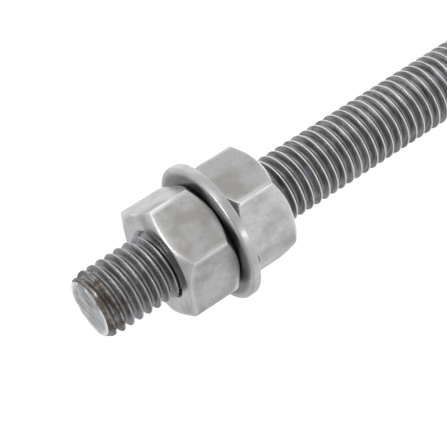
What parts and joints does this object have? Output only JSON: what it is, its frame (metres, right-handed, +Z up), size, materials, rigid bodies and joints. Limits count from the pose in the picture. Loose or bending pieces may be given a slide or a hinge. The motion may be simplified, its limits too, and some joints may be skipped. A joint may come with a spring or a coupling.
{
  "type": "l-shaped anchor bolt",
  "caption": "Bent steel anchor bolt with a threaded end, hexagon nuts and a washer between them, lying on its side.",
  "frame": {"origin": "on the floor under the middle of the bolt's outer box", "axes": "+X from the threaded tip towards the bend, +Y the way the bent leg points, +Z up from the floor"},
  "size_m": [0.25, 0.0662, 0.0246],
  "materials": {
    "rod_steel": "satin",
    "nut_steel": "satin",
    "washer_steel": "satin"
  },
  "bodies": {
    "bolt": {"anchor_rod": "rod_steel", "washer": "washer_steel"},
    "outer_nut_body": {"outer_nut": "nut_steel"},
    "inner_nut_body": {"inner_nut": "nut_steel"}
  },
  "joints": [
    {"name": "outer_nut_turn", "type": "hinge", "parent": "bolt", "child": "outer_nut_body", "pos_m": [-0.10661, -0.02085, 0.01247], "axis": [0.9996, 0, -0.0287], "continuous": true},
    {"name": "inner_nut_turn", "type": "hinge", "parent": "bolt", "child": "inner_nut_body", "pos_m": [-0.09489, -0.02085, 0.01213], "axis": [0.9996, 0, -0.0287], "continuous": true}
  ]
}
